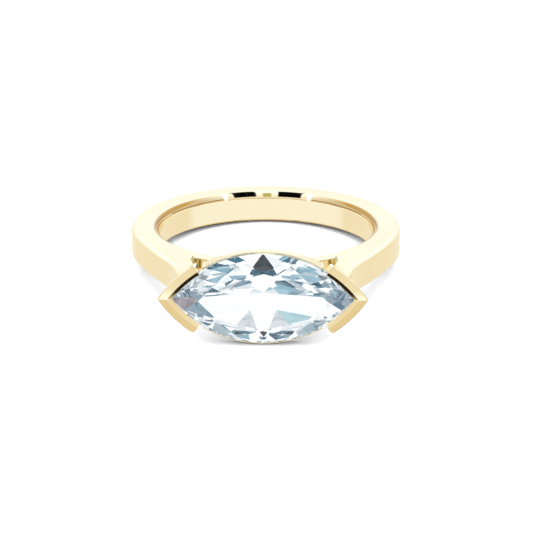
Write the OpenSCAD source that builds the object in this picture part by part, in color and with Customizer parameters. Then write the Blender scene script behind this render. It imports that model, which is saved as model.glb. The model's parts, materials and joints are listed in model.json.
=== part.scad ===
// Half bezel engagement ring, lying on its side as it rests by itself.
// Millimetres. The ring is drawn about the finger's axis, head towards -Y, and is then laid down:
// it touches the surface with the back of the shank and with the lower gallery rail.

/* [Finger hole] */
// Inner diameter of the ring
finger_d = 16.5; // [16.3:0.1:16.8]
// Radius of the eased edge at both mouths of the hole
inner_round = 0.3; // [0.15:0.05:0.35]

/* [Shank] */
// Thickness of the shank, from the finger outwards
shank_t = 2.12; // [1.9:0.02:2.2]
// Width of the shank, along the finger
shank_w = 2.26; // [2.1:0.02:2.4]
// Radius of the softened outer edges
outer_round = 0.3; // [0.2:0.05:0.4]
// Thickness of the finger rail beneath the head
finger_rail_t = 1.35; // [1.1:0.05:1.5]

/* [Shoulders] */
// Angle below the ring's middle line at which each shoulder leaves the shank's outer circle
leave_deg = 18; // [16:1:20]
// Angle of the shoulder where it leans in most
lean_deg = 27; // [26:0.5:28]
// Radius of the full part of the shoulder's outer side
full_r = 35; // [34:0.5:36]
// Radius of the hollow part of the shoulder's outer side, up to the head
hollow_r = 11; // [10.5:0.1:11.5]
// Radius of the shoulder's inner side
inner_side_r = 28; // [27:0.5:29]
// Distance of the inner side from the ring's middle plane, at the head
neck_half = 5.1; // [5.1:0.02:5.2]
// Distance from the middle of the girdle to the shoulder's end behind it
shoulder_gap = 1.12; // [1.1:0.02:1.2]

/* [Stone] */
// Length of the stone, from tip to tip
stone_len = 14.2; // [14:0.05:14.3]
// Width of the stone
stone_wid = 7.1; // [7.05:0.05:7.2]
// Height of the table above the middle of the girdle
table_h = 0.86; // [0.8:0.01:0.9]
// Depth of the culet below the middle of the girdle
culet_depth = 3.05; // [2.9:0.05:3.1]
// Thickness of the girdle where it is widest
girdle_t = 0.25; // [0.2:0.01:0.26]
// Distance from the finger's axis to the middle of the girdle
girdle_rise = 14.72; // [14.6:0.02:14.8]

/* [Half bezels] */
// Thickness of the bezel's wall outside the stone
wall_t = 0.78; // [0.7:0.01:0.82]
// Reach of the bezel's lip over the stone
lip_reach = 0.15; // [0.1:0.01:0.16]
// Height of the rim above the middle of the girdle
rim_h = 0.5; // [0.48:0.01:0.55]
// Depth of the wall's open end below the middle of the girdle
arm_depth = 1.0; // [0.95:0.05:1.1]
// Inward taper of the wall's outside, over a depth of one
wall_taper = 0.2; // [0.15:0.01:0.22]
// Angle from the middle of the stone's side at which each arm ends
arm_end_deg = 33.2; // [32.5:0.1:34]

/* [Gallery rails] */
// Reach of the rail outside the stone
rail_reach = 0.13; // [0.1:0.01:0.16]
// Depth of the rail's back below the middle of the girdle, at the middle of the ring
rail_depth = 0.92; // [0.85:0.01:1]
// Extra depth of the rail at its ends, where its back is arched
rail_arch = 0.38; // [0.3:0.02:0.5]
// Angle from the middle of the stone's side at which the rail ends
rail_end_deg = 31.9; // [31:0.1:32]

/* [Hidden] */
$fn = 96;

gold = [0.93, 0.82, 0.55];
clear = [0.86, 0.93, 0.97];

finger_r = finger_d / 2;
shank_r = finger_r + shank_t;
half_w = shank_w / 2;
sink = 0.3;             // how far a form reaches into its neighbour
far = 30;               // reach of a cutting block

// The stone's side is an arc: its radius, and how far its centre lies past the long axis
side_r = (pow(stone_len / 2, 2) + pow(stone_wid / 2, 2)) / stone_wid;
side_c = side_r - stone_wid / 2;
tip_deg = asin(stone_len / 2 / side_r);

// Crown slopes, in degrees: over the middle of a side, over its quarter and over a tip
slope_middle = 31.5;
slope_quarter = 30;
slope_tip = 18.8;

// Resting pose: the line under the shank's lower edge and the lower rail's back edge
rail_low = [-(girdle_rise - rail_depth), -(stone_wid / 2 + rail_reach)];
back_low = [shank_r - outer_round, -(half_w - outer_round)];
span = back_low - rail_low;
rest_tilt = atan2(span[1], span[0]) - asin(outer_round / norm(span));
rest_z = (shank_r - outer_round) * sin(rest_tilt) + (half_w - outer_round) * cos(rest_tilt) + outer_round;
table_low = stone_wid / 2 - (table_h - girdle_t / 2) / tan(slope_middle);
back_y = (shank_r - outer_round) * cos(rest_tilt) + (half_w - outer_round) * sin(rest_tilt) + outer_round;
front_y = (girdle_rise + table_h) * cos(rest_tilt) + table_low * sin(rest_tilt);
rest_y = (front_y - back_y) / 2;

// The other sizes of the cut
quarter_deg = 28;       // where the quarter facet touches the girdle
star_drop = 0.5;        // how far down the crown the star facets reach, as a share
keel_share = 0.5;       // how far down the pavilion the lower halves reach, as a share
side_steps = 6;         // girdle facets between two main facets

// The eight main facets, anticlockwise from one tip: angle along the side, which side, crown slope
MAIN = [
    [tip_deg, 1, slope_tip],
    [quarter_deg, 1, slope_quarter],
    [0, 1, slope_middle],
    [-quarter_deg, 1, slope_quarter],
    [-tip_deg, -1, slope_tip],
    [-quarter_deg, -1, slope_quarter],
    [0, -1, slope_middle],
    [quarter_deg, -1, slope_quarter]
];
MAINS = len(MAIN);

function lerp(a, b, f) = a + (b - a) * f;
function main_at(k) = MAIN[(k + MAINS) % MAINS];
function is_tip(k) = abs(main_at(k)[0]) == tip_deg;
// A point of the girdle's outline at an angle from the middle of a side
function side_point(deg, side) = [side_r * sin(deg), side * (side_r * cos(deg) - side_c)];
function touch(k) = side_point(main_at(k)[0], main_at(k)[1]);
function outward(k) = is_tip(k)
    ? [sign(main_at(k)[0]), 0]
    : [sin(main_at(k)[0]), main_at(k)[1] * cos(main_at(k)[0])];
// The angle at which the stretch of outline after main facet k ends
function stretch_side(k) = k < MAINS / 2 ? 1 : -1;
function outline_deg(k, f) = lerp(main_at(k)[0], main_at(k + 1)[0], f);
function outline_point(k, f) = side_point(outline_deg(k, f), stretch_side(k));

// Height from the girdle's edge lost over a run of one, on the crown and on the pavilion
function crown_rate(k) = tan(main_at(k)[2]);
function pavilion_rate(k) = (culet_depth - girdle_t / 2) / (outward(k) * touch(k));
crown_h = table_h - girdle_t / 2;
pavilion_h = culet_depth - girdle_t / 2;

// Where two neighbouring main facets meet, at a distance of h from the girdle's edge
function meet(n1, d1, n2, d2) = let (det = n1[0] * n2[1] - n1[1] * n2[0])
    [(d1 * n2[1] - d2 * n1[1]) / det, (n1[0] * d2 - n2[0] * d1) / det];
function reach(k, h, rate) = outward(k) * touch(k) - h / rate;
function star_point(k) = let (h = crown_h * star_drop)
    meet(outward(k), reach(k, h, crown_rate(k)),
         outward(k + 1), reach(k + 1, h, crown_rate(k + 1)));
function keel_point(k) = let (h = pavilion_h * (1 - keel_share))
    meet(outward(k), reach(k, h, pavilion_rate(k)),
         outward(k + 1), reach(k + 1, h, pavilion_rate(k + 1)));
function table_point(k) = touch(k) - outward(k) * crown_h / crown_rate(k);
function at_height(p, h) = [p[0], p[1], h];
// Height at p of the plane through three points
function plane_height(a, b, c, p) = let (n = cross(b - a, c - a))
    a[2] - (n[0] * (p[0] - a[0]) + n[1] * (p[1] - a[1])) / n[2];

// Height of the girdle's upper edge (up = 1) or lower edge (up = -1) on the stretch after facet k
function edge_height(k, j, up) =
    let (
        level = up * girdle_t / 2,
        inner = up > 0
            ? at_height(star_point(k), girdle_t / 2 + crown_h * star_drop)
            : at_height(keel_point(k), -girdle_t / 2 - pavilion_h * (1 - keel_share)),
        middle = at_height(outline_point(k, 0.5), level),
        main = j <= side_steps / 2 ? at_height(touch(k), level) : at_height(touch(k + 1), level)
    )
    plane_height(main, inner, middle, outline_point(k, j / side_steps));

EDGE = MAINS * side_steps;
STONE_POINTS = concat(
    [for (k = [0:MAINS - 1], j = [0:side_steps - 1])
        at_height(outline_point(k, j / side_steps), edge_height(k, j, 1))],
    [for (k = [0:MAINS - 1], j = [0:side_steps - 1])
        at_height(outline_point(k, j / side_steps), edge_height(k, j, -1))],
    [for (k = [0:MAINS - 1]) at_height(table_point(k), table_h)],
    [for (k = [0:MAINS - 1]) at_height(star_point(k), girdle_t / 2 + crown_h * star_drop)],
    [for (k = [0:MAINS - 1]) at_height(keel_point(k), -girdle_t / 2 - pavilion_h * (1 - keel_share))],
    [[0, 0, -culet_depth]]
);
function upper(k, j) = (k * side_steps + j + EDGE) % EDGE;
function lower(k, j) = EDGE + upper(k, j);
function table_i(k) = 2 * EDGE + (k + MAINS) % MAINS;
function star_i(k) = 2 * EDGE + MAINS + (k + MAINS) % MAINS;
function keel_i(k) = 2 * EDGE + 2 * MAINS + (k + MAINS) % MAINS;
culet_i = 2 * EDGE + 3 * MAINS;
half_steps = side_steps / 2;
STONE_FACES = concat(
    [[for (k = [MAINS - 1:-1:0]) table_i(k)]],
    [for (k = [0:MAINS - 1]) [table_i(k), table_i(k + 1), star_i(k)]],
    [for (k = [0:MAINS - 1]) [table_i(k), star_i(k), upper(k, 0), star_i(k - 1)]],
    [for (k = [0:MAINS - 1], s = [0, half_steps])
        concat([star_i(k)], [for (j = [half_steps:-1:0]) upper(k, s + j)])],
    [for (k = [0:MAINS - 1], j = [0:side_steps - 1])
        [lower(k, j), upper(k, j), upper(k, j + 1), lower(k, j + 1)]],
    [for (k = [0:MAINS - 1]) [culet_i, keel_i(k - 1), lower(k, 0), keel_i(k)]],
    [for (k = [0:MAINS - 1], s = [0, half_steps])
        concat([keel_i(k)], [for (j = [0:half_steps]) lower(k, s + j)])]
);

// Shoulder outlines, seen along the finger, on the +X side. Centres of the three arcs.
function below(deg) = [cos(deg), -sin(deg)];
full_c = (shank_r - full_r) * below(leave_deg);
hollow_c = full_c + (full_r + hollow_r) * below(lean_deg);
neck_y = hollow_c[1];
inner_c = [neck_half + inner_side_r, neck_y];
shoulder_end_y = -(girdle_rise - shoulder_gap);
shoulder_root = (finger_r - sink) * below(leave_deg);
shoulder_steps = 14;

// Outer side: full arc, then hollow arc, then straight up to the head
function shoulder_out(f) =
    f < 0.5 ? full_c + full_r * below(lerp(leave_deg, lean_deg, 2 * f))
    : f < 1 ? hollow_c - hollow_r * below(lean_deg * 2 * (1 - f))
    : [hollow_c[0] - hollow_r, shoulder_end_y];
function inner_side_x(y) = inner_c[0] - sqrt(pow(inner_side_r, 2) - pow(y - neck_y, 2));
// Inner side: from the shank's end inside the finger circle to the arc beside the window
function shoulder_in(f) =
    f == 0 ? shoulder_root
    : let (y = f < 1 ? lerp(shoulder_root[1], neck_y, f) : shoulder_end_y)
    [inner_side_x(max(y, neck_y)), y];

// The shank's stations from one end of the head round the finger to the other, as [inner, outer]
shank_steps = 40;
function across_ring(p) = [-p[0], p[1]];
SHOULDER_STATIONS = [for (i = [0:shoulder_steps + 1])
    [shoulder_in(i / shoulder_steps), shoulder_out(i / shoulder_steps)]];
STATIONS = concat(
    [for (i = [shoulder_steps + 1:-1:0]) SHOULDER_STATIONS[i]],
    [for (i = [1:shank_steps - 1])
        let (deg = lerp(-leave_deg, 180 + leave_deg, i / shank_steps), way = [cos(deg), sin(deg)])
        [(finger_r - sink) * way, shank_r * way]],
    [for (station = SHOULDER_STATIONS) [across_ring(station[0]), across_ring(station[1])]]
);

// Section of the shank: a box with softened corners between its inner and its outer side
corner_steps = 3;
function section(a, b) =
    let (wide = norm(b - a), across = (b - a) / wide)
    [for (q = [0:3], i = [0:corner_steps])
        let (
            deg = 90 * (q + i / corner_steps),
            out_side = q == 0 || q == 3,
            u = (out_side ? wide - outer_round : outer_round) + outer_round * cos(deg),
            w = (q < 2 ? 1 : -1) * (half_w - outer_round) + outer_round * sin(deg)
        )
        [a[0] + across[0] * u, a[1] + across[1] * u, w]];
section_n = 4 * (corner_steps + 1);
last = (len(STATIONS) - 1) * section_n;
SHANK_POINTS = [for (station = STATIONS) each section(station[0], station[1])];
SHANK_FACES = concat(
    [[for (j = [section_n - 1:-1:0]) j]],
    [for (i = [0:len(STATIONS) - 2], j = [0:section_n - 1])
        let (a = i * section_n + j, b = i * section_n + (j + 1) % section_n)
        [a, b, b + section_n, a + section_n]],
    [[for (j = [0:section_n - 1]) last + j]]
);

// Under each half bezel a foot stands on the shoulder, with an arch round it on every side
foot_ease = 0.1;        // the foot ends this far inside the shoulder's sides
foot_half = half_w - foot_ease;
foot_out = hollow_c[0] - hollow_r - foot_ease;
foot_in = neck_half + foot_ease;
arch_r = 1.45;          // beside the foot, and beneath the tip
inner_arch_r = 0.7;     // towards the middle of the ring
foot_depth = arm_depth + arch_r;

// Profiles of the setting: distance outside the stone's outline, height above the girdle's middle
rim_fall = 0.14;        // the rim slopes down on both sides of its crest by this much
rim_ease = 0.09;        // the rim's softened outer edge
crest_out = 0.18;       // the crest's distance outside the stone's outline
seat_gap = 0.05;        // clearance beside the girdle
seat_top = 0.14;        // the seat's upright stretch reaches from here
seat_low = -0.15;       // down to here
seat_in = 0.42;         // how far the seat reaches under the stone
seat_foot = -0.48;      // height of the bezel's seat there
rail_foot = -0.57;      // height of the rail's seat there
wall_in = 0.65;         // how far the wall reaches under the stone at its back
wall_top = rim_h - rim_fall - rim_ease;
BEZEL = [
    [wall_t, wall_top],
    [wall_t - rim_ease, rim_h - rim_fall],
    [crest_out, rim_h],
    [-lip_reach, rim_h - rim_fall],
    [seat_gap, seat_top],
    [seat_gap, seat_low],
    [-seat_in, seat_foot],
    [-wall_in, -arm_depth],
    [-wall_in, -foot_depth],
    [wall_t - wall_taper * (wall_top + foot_depth), -foot_depth]
];
rail_top = -0.08;       // height of the rail's upper edge
rail_back = rail_depth + rail_arch + sink;
RAIL = [
    [rail_reach, rail_top],
    [seat_gap, rail_top],
    [seat_gap, seat_low],
    [-seat_in, rail_foot],
    [-seat_in, -rail_back],
    [rail_reach, -rail_back]
];
// The web is the rail's inner part, which runs on into the bezels behind the notch
web_out = 0.12;
web_in = 0.4;
web_top = -0.62;
web_back = arm_depth - 0.05;
web_end_deg = arm_end_deg + 3;
WEB = [
    [-web_out, web_top],
    [-web_in, web_top],
    [-web_in, -web_back],
    [-web_out, -web_back]
];
past_tip_deg = tip_deg + 6;
// The arch of the rail's back, seen along the finger
rail_half = side_r * sin(rail_end_deg);
rail_arch_r = (pow(rail_half, 2) + pow(rail_arch, 2)) / (2 * rail_arch);

// Lays the ring down, from the finger's axis to the resting pose
module at_rest() {
    translate([0, rest_y, rest_z])
        rotate([-rest_tilt, 0, 0])
            children();
}

// From the stone's own axes, table up, to the ring's head
module at_head() {
    translate([0, -girdle_rise, 0])
        rotate([90, 0, 0])
            children();
}

// Turns a profile along a stretch of one side of the stone's outline
module along_side(profile, from_deg, to_deg) {
    translate([0, -side_c])
        rotate([0, 0, 90 - to_deg])
            rotate_extrude(angle = to_deg - from_deg)
                translate([side_r, 0])
                    polygon(profile);
}

// The shank and both of its shoulders, in one sweep
module shank() {
    polyhedron(points = SHANK_POINTS, faces = SHANK_FACES);
}

// The finger rail's profile, with softened outer corners
module finger_rail_profile() {
    ease = 0.15;
    r_in = finger_r - sink;
    r_out = finger_r + finger_rail_t;
    translate([r_in, -half_w + ease])
        square([r_out - r_in, shank_w - 2 * ease]);
    translate([r_in, -half_w])
        square([r_out - r_in - ease, shank_w]);
    for (side = [-1, 1])
        translate([r_out - ease, side * (half_w - ease)])
            circle(r = ease);
}

module finger_rail() {
    reach_deg = 38;     // it runs on into both shoulders
    rotate([0, 0, 180 + reach_deg])
        rotate_extrude(angle = 180 - 2 * reach_deg)
            finger_rail_profile();
}

// What the finger hole takes away: the bore and the eased edge at both of its mouths
module finger_bore() {
    mouth = half_w - inner_round;
    cylinder(r = finger_r, h = 2 * far, center = true);
    for (side = [0, 1])
        mirror([0, 0, side])
            rotate_extrude()
                difference() {
                    translate([finger_r - sink, mouth])
                        square([sink + inner_round, inner_round + sink]);
                    translate([finger_r + inner_round, mouth])
                        circle(r = inner_round);
                }
}

// What an arch takes away, seen from its end: outwards from the foot and down from the wall's back
module arch(r) {
    translate([r, -r])
        circle(r = r);
    translate([r, -far])
        square(far);
    translate([0, -far - r])
        square(far);
}

// The arches beside the foot, beneath the tip and towards the middle of the ring
module arches() {
    translate([0, foot_half, -arm_depth])
        rotate([90, 0, 90])
            linear_extrude(far)
                arch(arch_r);
    translate([foot_out, far, -arm_depth])
        rotate([90, 0, 0])
            linear_extrude(2 * far)
                arch(arch_r);
    translate([foot_in, far, -arm_depth])
        mirror([1, 0, 0])
            rotate([90, 0, 0])
                linear_extrude(2 * far)
                    arch(inner_arch_r);
}

// One arm of a half bezel, cut at the stone's long axis so that two arms meet in a mitre
module bezel_arm() {
    difference() {
        along_side(BEZEL, arm_end_deg, past_tip_deg);
        translate([-far, -far, -far])
            cube([2 * far, far, 2 * far]);
        arches();
    }
}

module half_bezel() {
    bezel_arm();
    mirror([0, 1, 0])
        bezel_arm();
}

module gallery_rail() {
    difference() {
        union() {
            along_side(RAIL, -rail_end_deg, rail_end_deg);
            along_side(WEB, -web_end_deg, web_end_deg);
        }
        translate([0, 0, -rail_depth - rail_arch_r])
            rotate([90, 0, 0])
                cylinder(r = rail_arch_r, h = far, center = true);
    }
}

module setting() {
    for (side = [0, 1]) {
        mirror([side, 0, 0])
            half_bezel();
        mirror([0, side, 0])
            gallery_rail();
    }
}

module gold_mounting() {
    color(gold)
        at_rest()
            difference() {
                union() {
                    shank();
                    finger_rail();
                    at_head()
                        setting();
                }
                finger_bore();
            }
}

module marquise_stone() {
    color(clear)
        at_rest()
            at_head()
                polyhedron(points = STONE_POINTS, faces = STONE_FACES);
}

gold_mounting();
marquise_stone();
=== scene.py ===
"""Half bezel engagement ring: polished gold and a marquise stone, laid on a pale studio floor.

The shapes are drawn in millimetres on the ring's own axes: X across the ring, Y from the head
through the finger to the back of the shank, Z along the finger. The head has axes of its own:
X along the stone, Y across it and Z out through its table. Placement lays both down in metres.
"""

import json
import logging
from dataclasses import dataclass, field
from enum import Enum, IntEnum
from math import acos, asin, atan2, ceil, cos, degrees, hypot, pi, radians, sin, sqrt, tan

import bpy
import numpy as np
from mathutils import Matrix, Vector
from mathutils.geometry import tessellate_polygon


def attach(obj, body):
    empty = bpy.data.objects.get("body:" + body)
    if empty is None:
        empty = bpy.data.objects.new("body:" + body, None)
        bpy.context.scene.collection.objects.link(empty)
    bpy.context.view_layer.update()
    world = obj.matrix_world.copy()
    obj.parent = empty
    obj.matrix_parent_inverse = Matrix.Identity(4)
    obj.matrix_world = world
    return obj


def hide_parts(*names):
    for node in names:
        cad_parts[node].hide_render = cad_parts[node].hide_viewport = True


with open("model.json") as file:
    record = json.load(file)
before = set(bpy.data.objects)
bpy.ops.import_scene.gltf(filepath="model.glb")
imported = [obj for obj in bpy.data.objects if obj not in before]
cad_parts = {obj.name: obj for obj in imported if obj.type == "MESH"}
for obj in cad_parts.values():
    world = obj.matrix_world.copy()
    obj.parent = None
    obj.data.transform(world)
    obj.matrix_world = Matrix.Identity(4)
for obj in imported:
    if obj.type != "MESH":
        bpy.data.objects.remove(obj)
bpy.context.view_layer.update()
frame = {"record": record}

MM = 0.001
MERGE = 0.0005
SAME_SPOT = 0.001
SAME_TURN = 0.0001
TURN_DIGITS = 6
NOISE_MIDDLE = 0.5
# The numbers of a colour mix's sockets: its share, its two colours and its result
MIX_INPUTS = (0, 6, 7)
MIX_RESULT = 2
log = logging.getLogger("ring")

Point = tuple[float, float]
Place = tuple[float, float, float]
Colour = tuple[float, float, float]
Socket = bpy.types.NodeSocket


class Smoothing(IntEnum):
    """How strongly a face holds its own direction against its neighbours at a shared edge."""

    EASED = 0
    WALL = 1
    FLAT = 2


class Rays(Enum):
    """The kinds of ray that the studio answers each in its own way."""

    CAMERA = "Is Camera Ray"
    GLOSSY = "Is Glossy Ray"
    SINGULAR = "Is Singular Ray"
    TRANSMISSION = "Is Transmission Ray"


def lerp(a: float, b: float, f: float) -> float:
    """The value a share f of the way from a to b."""
    return a + (b - a) * f


def ease_in(distance: float, radius: float) -> float:
    """How far a rounded edge falls back at a distance from its end."""
    left = max(radius - distance, 0.0)
    return radius - sqrt(max(radius * radius - left * left, 0.0))


def soft_min(a: float, b: float, blend: float) -> float:
    """The smaller of two values, with the crease between them rounded over a blend."""
    near = max(blend - abs(a - b), 0.0) / blend
    return min(a, b) - near * near * blend / 4


def arc(centre: Point, radius: float, start: float, end: float, step: float) -> list[Point]:
    """Points along an arc.

    Args:
        centre: The arc's centre.
        radius: Its radius.
        start: The angle of its first point, in degrees.
        end: The angle of its last point, in degrees.
        step: The length of one step along it.

    Returns:
        The points, both ends with them.
    """
    count = max(2, round(abs(radians(end - start)) * radius / step))
    angles = [radians(lerp(start, end, i / count)) for i in range(count + 1)]
    return [(centre[0] + radius * cos(a), centre[1] + radius * sin(a)) for a in angles]


def rounded(corners: list[tuple[float, float, float]], steps: int) -> list[Point]:
    """An open outline whose inner corners are rounded.

    Args:
        corners: Each corner's place and its radius, nought for a sharp one.
        steps: The number of steps round each corner.

    Returns:
        The outline's points.
    """
    points = [corners[0][:2]]
    for before, (x, y, radius), after in zip(corners, corners[1:], corners[2:]):
        at = Vector((x, y))
        if radius <= 0:
            points.append(tuple(at))
            continue
        back, ahead = (Vector(before[:2]) - at).normalized(), (Vector(after[:2]) - at).normalized()
        half = back.angle(ahead) / 2
        centre = at + (back + ahead).normalized() * (radius / sin(half))
        first = at + back * (radius / tan(half)) - centre
        turn = first.angle_signed(at + ahead * (radius / tan(half)) - centre)
        points += [tuple(centre + Matrix.Rotation(-turn * i / steps, 2) @ first) for i in range(steps + 1)]
    return points + [corners[-1][:2]]


def column(items: object, name: str, width: int = 1, kind: type = float) -> np.ndarray:
    """Reads one value from every item of a mesh's list.

    Args:
        items: The list, such as the mesh's faces.
        name: The value's name.
        width: How many numbers it has.
        kind: The numbers' type.

    Returns:
        The values, in rows where each has several numbers.
    """
    found = np.empty(len(items) * width, kind)
    items.foreach_get(name, found)
    return found.reshape(-1, width) if width > 1 else found


def linked(name: str, data: bpy.types.ID) -> bpy.types.Object:
    """Puts a new object in the scene.

    Args:
        name: Its name.
        data: Its mesh or camera.

    Returns:
        The object.
    """
    made = bpy.data.objects.new(name, data)
    bpy.context.scene.collection.objects.link(made)
    return made


@dataclass
class Shell:
    """A closed surface in the making, in millimetres."""

    points: list[Place] = field(default_factory=list)
    faces: list[list[int]] = field(default_factory=list)
    ranks: list[int] = field(default_factory=list)

    def add(self, face: list[int], rank: Smoothing) -> None:
        """Adds one face."""
        self.faces.append(face)
        self.ranks.append(int(rank))

    def strip(self, first: int, second: int, ranks: list[Smoothing]) -> None:
        """Adds the faces between two closed rings of points.

        Args:
            first: The number of one ring's first point.
            second: The number of the other ring's first point.
            ranks: How the face after each point is smoothed.
        """
        for i, rank in enumerate(ranks):
            j = (i + 1) % len(ranks)
            self.add([first + i, first + j, second + j, second + i], rank)

    def to_object(self, name: str) -> bpy.types.Object:
        """Makes the surface an object, with its faces pointing outwards.

        Args:
            name: The object's name.

        Returns:
            The object, still in millimetres.
        """
        points = np.array(self.points)
        volume = sum(
            np.dot(points[f[0]], np.cross(points[a], points[b]))
            for f in self.faces for a, b in zip(f[1:], f[2:])
        )
        mesh = bpy.data.meshes.new(name)
        mesh.from_pydata(points, [], self.faces if volume > 0 else [f[::-1] for f in self.faces])
        mesh.attributes.new("rank", "INT", "FACE").data.foreach_set("value", self.ranks)
        mesh.update()
        return linked(name, mesh)


def plain_mesh(piece: bpy.types.Object, name: str) -> bpy.types.Mesh:
    """Applies an object's modifiers.

    Args:
        piece: The object.
        name: The name of what they make.

    Returns:
        The plain mesh.
    """
    bpy.context.view_layer.update()
    mesh = bpy.data.meshes.new_from_object(piece.evaluated_get(bpy.context.evaluated_depsgraph_get()))
    mesh.name = name
    return mesh


def fuse(pieces: list[bpy.types.Object], name: str) -> bpy.types.Object:
    """Solders several closed pieces into one.

    Args:
        pieces: The pieces, which are used up.
        name: The name of what they become.

    Returns:
        One object with one closed mesh.
    """
    whole = pieces[0]
    for piece in pieces[1:]:
        join = whole.modifiers.new(piece.name, "BOOLEAN")
        join.operation = "UNION"
        join.solver = "MANIFOLD"
        join.object = piece
    fused = linked(name, plain_mesh(whole, name))
    for piece in pieces:
        bpy.data.objects.remove(piece)
    return fused


def smooth_by_rank(mesh: bpy.types.Mesh, crease_deg: float) -> None:
    """Gives each corner its direction: flat faces keep theirs, and rounded edges run into them.

    Args:
        mesh: The mesh, whose faces have the attribute rank.
        crease_deg: Faces that meet at a greater angle than this stay apart.
    """
    vertex = column(mesh.loops, "vertex_index", kind=int)
    sides = column(mesh.polygons, "loop_total", kind=int)
    normal = column(mesh.polygons, "normal", 3)
    area = column(mesh.polygons, "area")
    rank = column(mesh.attributes["rank"].data, "value", kind=int)
    face = np.repeat(np.arange(len(sides)), sides)

    # Each corner is set beside every corner at the same vertex
    order = np.argsort(vertex, kind="stable")
    _, first, count = np.unique(vertex[order], return_index=True, return_counts=True)
    size = np.repeat(count, count)
    mine = np.repeat(order, size)
    offset = np.arange(len(mine)) - np.repeat(np.cumsum(size) - size, size)
    other = order[np.repeat(np.repeat(first, count), size) + offset]

    # It takes its direction from those of the highest rank that lie nearly as its own face does
    alike = np.einsum("ij,ij->i", normal[face[mine]], normal[face[other]]) > cos(radians(crease_deg))
    mine, other = mine[alike], other[alike]
    best = np.zeros(len(vertex), int)
    np.maximum.at(best, mine, rank[face[other]])
    lead = rank[face[other]] == best[mine]
    mine, other = mine[lead], other[lead]
    total = np.zeros((len(vertex), 3))
    np.add.at(total, mine, normal[face[other]] * area[face[other]][:, None])
    empty = np.linalg.norm(total, axis=1) == 0
    total[empty] = normal[face[empty]]
    mesh.shade_smooth()
    mesh.normals_split_custom_set(total / np.linalg.norm(total, axis=1)[:, None])


@dataclass(frozen=True)
class Placement:
    """Where the ring lies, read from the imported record's finger hole."""

    on_finger: Matrix
    finger_r: float

    @classmethod
    def from_record(cls, record: dict) -> "Placement":
        """Reads the ring's axes from the record.

        Args:
            record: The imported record.

        Returns:
            The placement of the ring's own axes, and the finger hole's radius in millimetres.
        """
        hole = next(m for m in record["mounts"] if m["name"] == "finger_hole")
        along = Vector(hole["axis"]).normalized()
        across = Vector((1, 0, 0))
        turn = Matrix((across, along.cross(across), along)).transposed().to_4x4()
        return cls(Matrix.Translation(hole["pos_m"]) @ turn @ Matrix.Scale(MM, 4), hole["dims"]["r_mm"])

    def lay(self, piece: bpy.types.Object) -> None:
        """Moves a piece's mesh from the ring's axes to its place, in metres."""
        piece.data.transform(self.on_finger)


@dataclass(frozen=True)
class StoneOutline:
    """The marquise outline: two arcs that meet in a tip at either end.

    A turn is a place on it, in degrees of arc anticlockwise from the tip on the +X side.
    """

    length: float = 14.2
    width: float = 7.1
    rise: float = 14.72

    @property
    def side_r(self) -> float:
        """Radius of one side."""
        return ((self.length / 2) ** 2 + (self.width / 2) ** 2) / self.width

    @property
    def side_c(self) -> float:
        """How far a side's centre lies past the long axis."""
        return self.side_r - self.width / 2

    @property
    def tip_deg(self) -> float:
        """Angle from a side's middle to the tips."""
        return degrees(asin(self.length / 2 / self.side_r))

    @property
    def lap(self) -> float:
        """The turn all the way round, over both sides."""
        return 4 * self.tip_deg

    @property
    def to_ring(self) -> Matrix:
        """From the head's axes to the ring's."""
        return Matrix.Translation((0, -self.rise, 0)) @ Matrix.Rotation(pi / 2, 4, "X")

    def point(self, deg: float, side: int = 1, out: float = 0.0) -> Point:
        """A point at an angle from a side's middle and a distance outside the outline."""
        a = radians(deg)
        return (self.side_r + out) * sin(a), side * ((self.side_r + out) * cos(a) - self.side_c)

    def mitre_deg(self, out: float) -> float:
        """The angle at which a line outside the outline reaches the long axis."""
        return degrees(acos(self.side_c / (self.side_r + out)))

    def at_turn(self, turn: float) -> Vector:
        """The place at a turn."""
        turn, tip = turn % self.lap, self.tip_deg
        return Vector(self.point(tip - turn) if turn <= 2 * tip else self.point(turn - 3 * tip, -1))

    def outward(self, turn: float) -> Vector:
        """Finds the way that the outline faces at a turn, where a tip faces along the stone.

        Args:
            turn: The turn.

        Returns:
            The direction, of length one.
        """
        place = self.at_turn(turn)
        if abs(place.y) < MERGE:
            return Vector((1 if place.x > 0 else -1, 0))
        return (place + Vector((0, self.side_c if place.y > 0 else -self.side_c))).normalized()


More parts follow.
